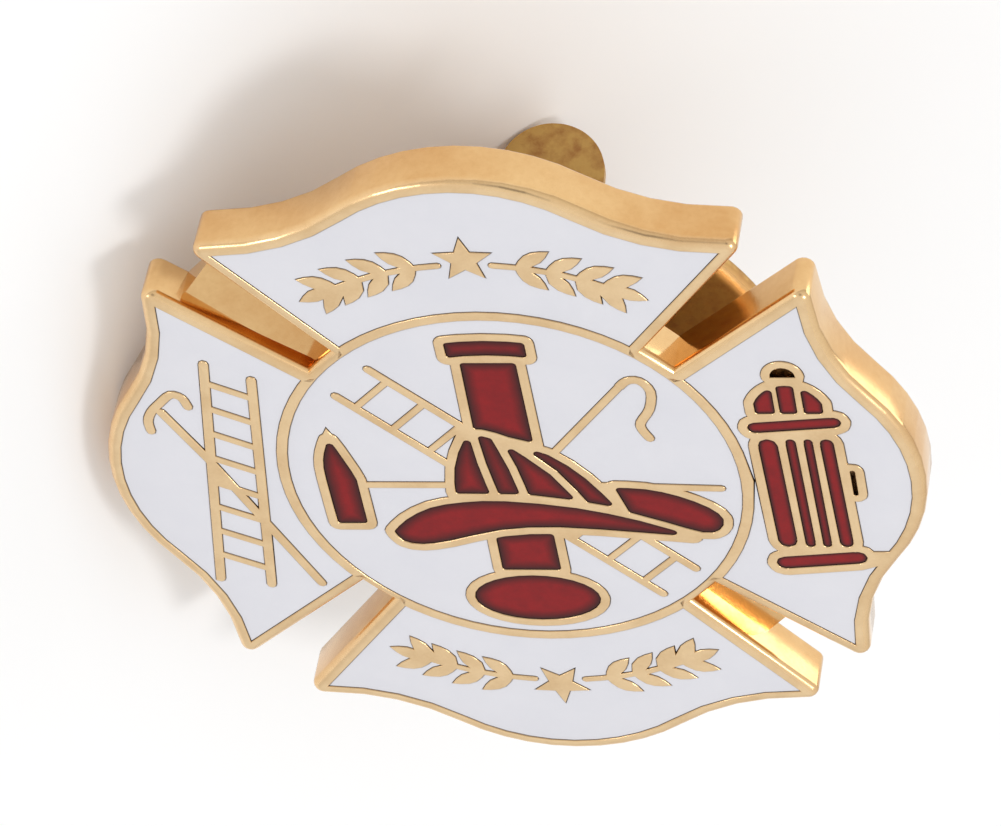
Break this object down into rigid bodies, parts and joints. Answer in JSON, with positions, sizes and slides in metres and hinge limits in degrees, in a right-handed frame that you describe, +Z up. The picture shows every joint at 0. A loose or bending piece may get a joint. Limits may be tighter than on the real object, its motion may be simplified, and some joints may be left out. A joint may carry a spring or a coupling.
{
  "type": "service pin",
  "caption": "Enamelled service pin in the shape of a cross with bulging arms, with raised metal lines and ornament, lying face up on its butterfly clutch and an arm's edge.",
  "frame": {"origin": "on the floor, under the middle of the pin's bounding box, with the pin lying at rest on its clutch's two ears and on the edge of the left arm", "axes": "+Z up; +Y is the face's upward direction, towards the top arm; +X is to the right on the face, where the pin is raised highest"},
  "size_m": [0.0156, 0.019, 0.0127],
  "materials": {
    "gilt_metal": "polished gilt, satin on the raised lines",
    "clutch_brass": "plain pressed brass",
    "white_enamel": "glossy, opaque",
    "red_enamel": "glossy, opaque"
  },
  "bodies": {
    "root": {"plate": "gilt_metal", "enamel_white_centre": "white_enamel", "enamel_white_top": "white_enamel", "enamel_white_right": "white_enamel", "enamel_white_bottom": "white_enamel", "enamel_white_left": "white_enamel", "enamel_red_helmet": "red_enamel", "enamel_red_trumpet": "red_enamel", "enamel_red_axe": "red_enamel", "enamel_red_hydrant": "red_enamel", "clutch_base": "clutch_brass", "clutch_wings": "clutch_brass"}
  },
  "joints": []
}
